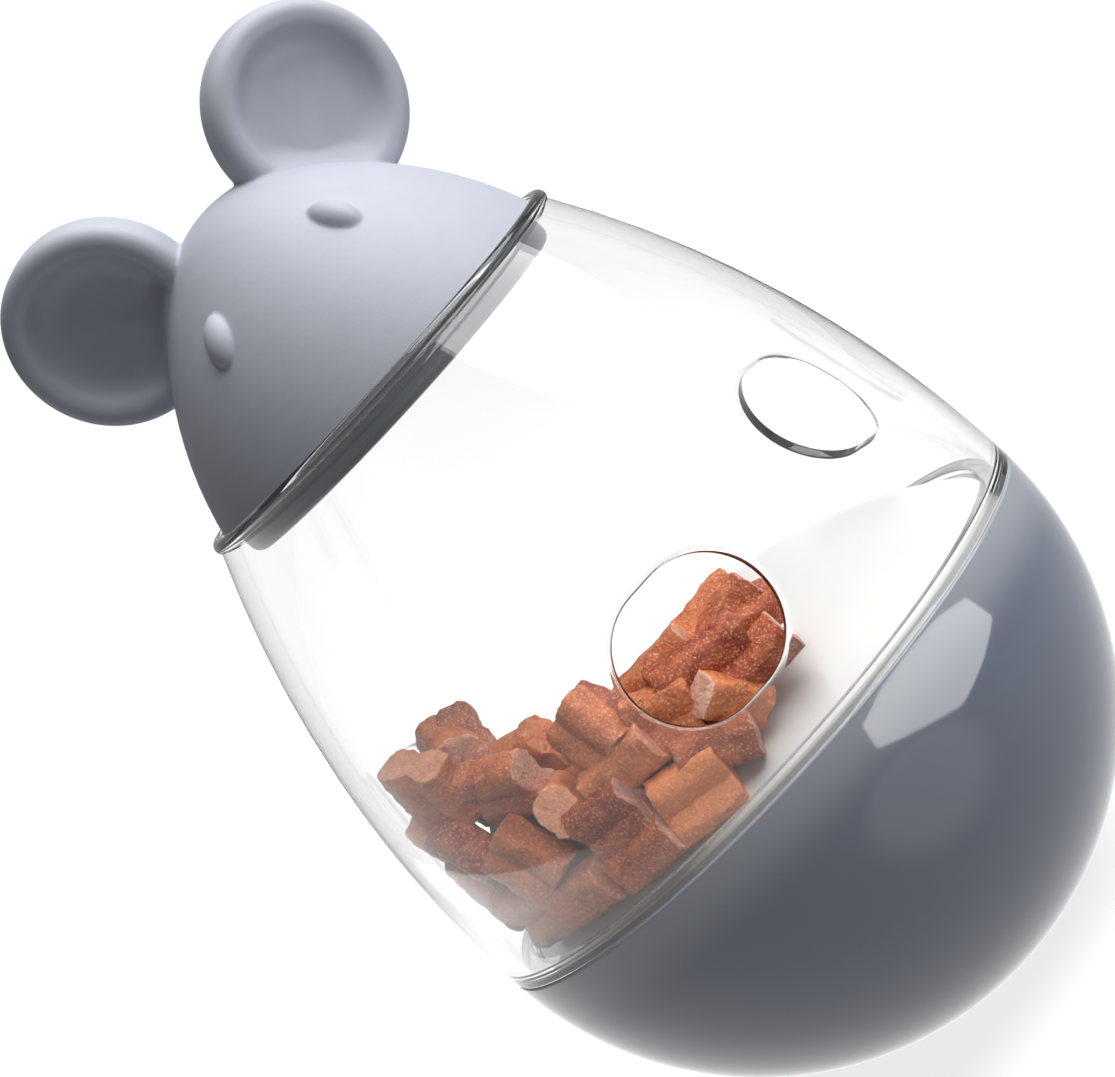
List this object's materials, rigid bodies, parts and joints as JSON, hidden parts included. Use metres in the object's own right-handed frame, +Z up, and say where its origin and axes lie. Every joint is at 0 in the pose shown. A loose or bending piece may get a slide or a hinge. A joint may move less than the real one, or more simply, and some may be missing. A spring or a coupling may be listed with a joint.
{
  "type": "treat dispensing mouse toy",
  "caption": "Tumbler treat toy shaped like a mouse: weighted round base, clear treat chamber with oval treat holes, and a soft eared head that pulls out for filling.",
  "frame": {"origin": "centre of the flat foot under the base, on the surface that the toy stands on", "axes": "+Z up along the toy's axis, the face looks along -Y, +X to the right of someone facing it"},
  "size_m": [0.072, 0.072, 0.12],
  "materials": {
    "base_plastic": "polished grey moulding",
    "ballast_iron": "as cast",
    "plated_steel": "zinc plated",
    "white_plastic": "white moulding",
    "clear_plastic": "clear polished moulding",
    "plug_plastic": "dark grey moulding",
    "soft_head": "matte soft grey moulding"
  },
  "bodies": {
    "body": {"base_shell": "base_plastic", "ballast_weight": "ballast_iron", "ballast_washer": "plated_steel", "ballast_screw": "plated_steel", "floor_dome": "white_plastic", "clear_body": "clear_plastic"},
    "plug": {"neck_plug": "plug_plastic"},
    "head": {"head_cap": "soft_head"}
  },
  "joints": [
    {"name": "head_pull", "type": "slide", "parent": "body", "child": "plug", "axis": [0, 0, 1], "range_m": [0, 0.045]},
    {"name": "head_turn", "type": "hinge", "parent": "plug", "child": "head", "pos_m": [0, 0, 0.0864], "axis": [0, 0, 1], "continuous": true}
  ]
}
